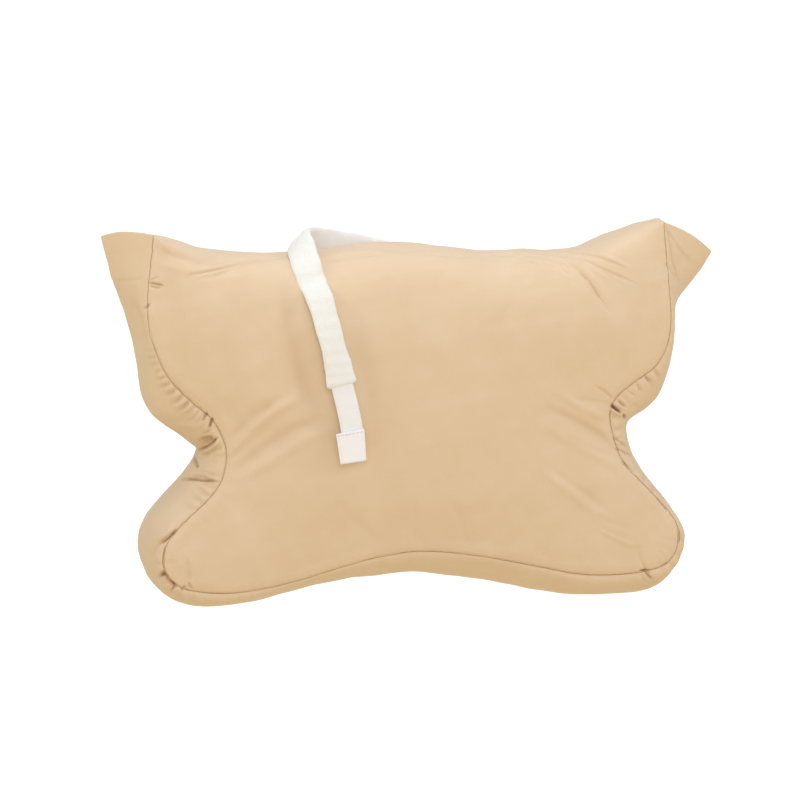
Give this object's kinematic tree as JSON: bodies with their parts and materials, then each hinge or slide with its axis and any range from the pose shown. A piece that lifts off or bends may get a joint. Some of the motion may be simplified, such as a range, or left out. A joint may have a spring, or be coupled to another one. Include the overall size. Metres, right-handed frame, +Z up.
{
  "type": "support cushion",
  "caption": "Side-notched two-lobed support cushion in a boxed satin-cotton case with ear corners, a closing flap and a padded tether strap with a hook tab.",
  "frame": {"origin": "under the middle of the whole object's box, on the plane the two lower lobes stand on", "axes": "+X to the right seen from the front, +Y towards the back with the closing flap, +Z up"},
  "size_m": [0.5617, 0.1349, 0.346],
  "materials": {
    "cover_cotton": "satin-weave cotton, soft sheen",
    "ticking_cotton": "plain-weave cotton, matt",
    "fill_fibre": "loose polyester fibre, matt",
    "thread": "spun thread",
    "white_thread": "spun thread",
    "fleece": "brushed fleece, matt",
    "webbing": "woven tape, matt",
    "loop_tape": "loop tape, matt",
    "hook_tape": "hook tape, matt"
  },
  "bodies": {
    "cushion": {"cover_front_panel": "cover_cotton", "cover_back_panel": "cover_cotton", "cover_boxing_strip": "cover_cotton", "front_seam_stitching": "thread", "back_seam_stitching": "thread", "inner_ticking_front": "ticking_cotton", "inner_ticking_back": "ticking_cotton", "inner_ticking_boxing": "ticking_cotton", "fibre_fill": "fill_fibre", "strap_anchor_patch": "cover_cotton", "strap_anchor_stitching": "thread"},
    "closure_flap": {"closure_flap": "cover_cotton", "closure_flap_hem": "cover_cotton", "flap_hem_stitching": "thread"},
    "strap_rear": {"sleeve_rear": "fleece", "webbing_rear": "webbing"},
    "strap_upper": {"sleeve_upper": "fleece", "webbing_upper": "webbing"},
    "strap_lower": {"sleeve_lower": "fleece", "webbing_lower": "webbing", "sleeve_end_stitching": "white_thread"},
    "strap_tail": {"loop_tape": "loop_tape"},
    "strap_tab": {"loop_tape_end": "loop_tape", "hook_tab": "hook_tape", "hook_tab_backing": "hook_tape", "hook_tab_stitching": "white_thread"}
  },
  "joints": [
    {"name": "flap_lift", "type": "hinge", "parent": "cushion", "child": "closure_flap", "pos_m": [0.0051, 0.0508, 0.2855], "axis": [-1, 0, 0], "range_deg": [-130, 0]},
    {"name": "strap_lift", "type": "hinge", "parent": "cushion", "child": "strap_rear", "pos_m": [0.0031, 0.0514, 0.291], "axis": [-1, 0, 0], "range_deg": [0, 110]},
    {"name": "crest_fold", "type": "hinge", "parent": "strap_rear", "child": "strap_upper", "pos_m": [-0.09743, -0.05047, 0.29646], "axis": [-0.9684, -0.0599, -0.2421], "range_deg": [0, 110]},
    {"name": "sleeve_fold", "type": "hinge", "parent": "strap_upper", "child": "strap_lower", "pos_m": [-0.0872, -0.05755, 0.25584], "axis": [-0.9739, -0.027, -0.2254], "range_deg": [0, 70]},
    {"name": "tail_fold", "type": "hinge", "parent": "strap_lower", "child": "strap_tail", "pos_m": [-0.0755, -0.06285, 0.20455], "axis": [-0.9721, -0.0279, -0.2327], "range_deg": [0, 60]},
    {"name": "tab_fold", "type": "hinge", "parent": "strap_tail", "child": "strap_tab", "pos_m": [-0.06629, -0.06476, 0.16301], "axis": [-0.9881, -0.0183, -0.1525], "range_deg": [0, 60]}
  ]
}
